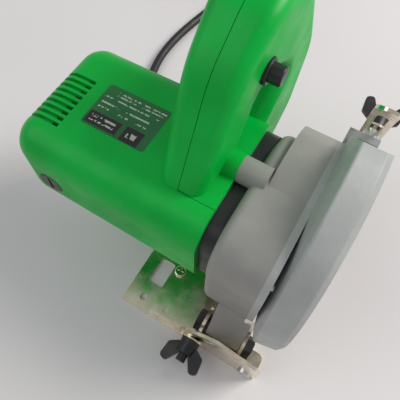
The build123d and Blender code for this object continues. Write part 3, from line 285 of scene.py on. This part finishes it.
def grit(name):
    """Sintered diamond segment: pale and dark grains in a dull metal bond."""
    look = Look(name, metallic=0.35)
    links = {"Vector": look.place, "Scale": 2400}
    cells = look.node("ShaderNodeTexVoronoi", links).outputs["Distance"]
    look.color(look.mix(look.ramp(cells, 0.1, 0.6), (0.62, 0.58, 0.48), (0.20, 0.17, 0.13)))
    look.roughness(look.ramp(look.noise(900), 0.3, 0.7, 0.6, 0.85))
    look.relief(cells, 0.12)
    return look


def rubber(name):
    """Black cord sheath with a dusty, faintly drawn surface."""
    look = Look(name)
    dust = look.ramp(look.noise(90, 5), 0.5, 0.75, 0, 0.5)
    look.color(look.mix(dust, (0.012, 0.012, 0.013), (0.06, 0.058, 0.055)))
    look.roughness(look.ramp(look.noise(240), 0.3, 0.7, 0.42, 0.62))
    look.relief(look.noise(1800, 2), 0.04)
    return look


def label_look():
    """Rating label: dark green film with two black panels and rows of plain pale dashes."""
    look = Look("label_print", coat=0.2)
    low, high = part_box("rating_label")
    axes = look.node("ShaderNodeSeparateXYZ", {0: look.place})
    along = look.ramp(axes.outputs["X"], low.x, high.x)
    across = look.ramp(axes.outputs["Y"], low.y, high.y)

    def inside(source, start, end):
        after = look.math("GREATER_THAN", source, start)
        return look.math("MULTIPLY", after, look.math("LESS_THAN", source, end))

    def panel(x0, x1, y0, y1):
        return look.math("MULTIPLY", inside(along, x0, x1), inside(across, y0, y1))

    dash_links = {"Vector": look.place, "Scale": 700, "Detail": 0}
    broken = look.node("ShaderNodeTexNoise", dash_links).outputs["Fac"]
    dashes = look.math("GREATER_THAN", broken, 0.46)
    black = look.math("MAXIMUM", panel(0.03, 0.53, 0.05, 0.33), panel(0.60, 0.88, 0.02, 0.34))
    rows = [
        (0.08, 0.46, 0.12, 0.16),
        (0.08, 0.46, 0.21, 0.26),
        (0.66, 0.80, 0.12, 0.24),
        (0.06, 0.26, 0.44, 0.475),
        (0.36, 0.54, 0.44, 0.475),
        (0.66, 0.86, 0.44, 0.475),
        (0.06, 0.34, 0.56, 0.595),
        (0.46, 0.82, 0.56, 0.595),
        (0.04, 0.92, 0.70, 0.73),
        (0.20, 0.92, 0.80, 0.83),
        (0.20, 0.96, 0.87, 0.90),
    ]
    pale = panel(*rows[0])
    for row in rows[1:]:
        pale = look.math("MAXIMUM", pale, panel(*row))
    pale = look.math("MULTIPLY", pale, dashes)
    field = look.mix(look.ramp(look.noise(40, 2), 0.3, 0.7), (0.004, 0.115, 0.024), (0.006, 0.16, 0.035))
    printed = look.mix(black, field, (0.012, 0.010, 0.010))
    look.color(look.mix(look.math("MULTIPLY", pale, 0.75), printed, (0.62, 0.70, 0.58)))
    look.roughness(look.ramp(look.noise(150), 0.3, 0.7, 0.25, 0.40))
    look.relief(look.noise(1200, 2), 0.01)
    return look


def dress(cord):
    """Every node and piece gets its material."""
    green = moulded("green_moulding", (0.0, 0.46, 0.055), (0.0, 0.38, 0.040), 0.34, 0.02)
    green.shader.inputs["Specular IOR Level"].default_value = 0.22
    green.give("motor_housing", "handle_cover")
    label_look().give("rating_label")
    cast("grey_casting", (0.44, 0.45, 0.43)).give("blade_guard")
    # gear housing: a darker, browner copy of the guard's grey paint, as painted shade where less window
    # light reaches it
    cast("shaded_grey_casting", (0.32, 0.31, 0.285)).give("gear_housing")
    # both plating colours are tinted warm brown as a painted reflection of brown surroundings on the
    # nickel plating
    plate = plated("reflection_tinted_plate", (0.84, 0.75, 0.60), (0.72, 0.62, 0.47), 0.2)
    plate.give("base_plate", "tilt_bracket", "depth_link", "depth_washer", "bevel_washer", "bracket_screw")
    steel = plated("turned_steel", (0.72, 0.72, 0.72), (0.46, 0.46, 0.46), 0.28, (0.05, 1, 1))
    steel.give("link_rivets", "bevel_pins", "depth_stud", "depth_spacer", "housing_screws", "guard_screws")
    steel.give("handle_screws", "top_dowel", "armature_shaft", "motor_bearings", "pinion", "spindle")
    steel.give("spindle_gear", "spindle_rear_bearing", "spindle_front_bearing", "inner_flange")
    steel.give("outer_flange", "brush_springs")
    dark = plated("black_steel", (0.035, 0.035, 0.037), (0.07, 0.06, 0.055), 0.36, metallic=0.6)
    dark.give("pivot_bolt", "pivot_nut", "bevel_stud", "blade_bolt", "front_wing_nut", "rear_wing_nut")
    black = moulded("black_moulding", (0.016, 0.016, 0.017), (0.010, 0.010, 0.011), 0.34, 0.03)
    black.give("pivot_bush", "fan_baffle", "lock_button")
    black.give("cooling_fan", "power_switch", "switch_plunger", "lock_collar")
    moulded("grey_moulding", (0.30, 0.32, 0.31), (0.24, 0.26, 0.25), 0.4).give("trigger")
    moulded("brown_moulding", (0.045, 0.026, 0.020), (0.030, 0.016, 0.012), 0.3).give("brush_caps")
    moulded("carbon_block", (0.03, 0.03, 0.03), (0.02, 0.02, 0.02), 0.6).give("carbon_brushes")
    brass = plated("bright_brass", (0.80, 0.60, 0.27), (0.55, 0.38, 0.15), 0.25)
    brass.give("brush_holders", "plug_pins")
    copper = wound("copper_wire", (0.55, 0.20, 0.07), (0.12, 0.03, 0.01), "X")
    copper.give("stator_windings", "armature_windings", "commutator")
    stack = wound("steel_laminations", (0.36, 0.36, 0.37), (0.16, 0.16, 0.17), "X")
    stack.give("stator_core", "armature_core")
    plated("blade_steel", (0.55, 0.55, 0.54), (0.36, 0.35, 0.33), 0.34, (1, 1, 0.08)).give("blade_core")
    grit("diamond_bond").give("diamond_segments")
    rubber("cord_sheath").give(cord, "cord_guard", "plug_body")


# ---- floor, light and exposure ----
def make_floor():
    low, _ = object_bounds()
    mesh = bpy.data.meshes.new("table_top")
    reach = 3.0
    corners = [(-reach, -reach), (reach, -reach), (reach, reach), (-reach, reach)]
    mesh.from_pydata([(x, y, low.z) for x, y in corners], [], [(0, 1, 2, 3)])
    floor = bpy.data.objects.new("table_top", mesh)
    bpy.context.scene.collection.objects.link(floor)
    look = Look("pale_table")
    tone = look.ramp(look.noise(5, 2), 0.3, 0.7)
    look.color(look.mix(tone, (0.69, 0.655, 0.645), (0.72, 0.69, 0.68)))
    look.roughness(look.ramp(look.noise(60), 0.3, 0.7, 0.6, 0.75))
    look.shader.inputs["Specular IOR Level"].default_value = 0.2
    look.relief(look.noise(400, 4), 0.05)
    look.give(floor)


def make_lamp(name, place, size, power, tint=(1, 1, 1)):
    """Square softbox facing the saw."""
    data = bpy.data.lights.new(name, "AREA")
    data.size = size
    data.energy = power
    data.color = tint
    lamp = bpy.data.objects.new(name, data)
    lamp.location = place
    aim = Vector((0, 0, 0.06)) - Vector(place)
    lamp.rotation_mode = "QUATERNION"
    lamp.rotation_quaternion = aim.to_track_quat("-Z", "Y")
    bpy.context.scene.collection.objects.link(lamp)


def make_light():
    make_lamp("window", (1.15, 1.1, 1.3), 0.9, 33, (1.0, 0.985, 0.96))
    make_lamp("room", (-1.1, -0.8, 1.5), 1.4, 8, (0.95, 0.98, 1.0))
    world = bpy.data.worlds.new("studio")
    world.use_nodes = True
    world.node_tree.nodes["Background"].inputs["Color"].default_value = (0.92, 0.95, 1.0, 1)
    world.node_tree.nodes["Background"].inputs["Strength"].default_value = 0.44
    bpy.context.scene.world = world
    bpy.context.scene.view_settings.view_transform = "Standard"


make_camera()
dress(make_cord())
make_floor()
make_light()
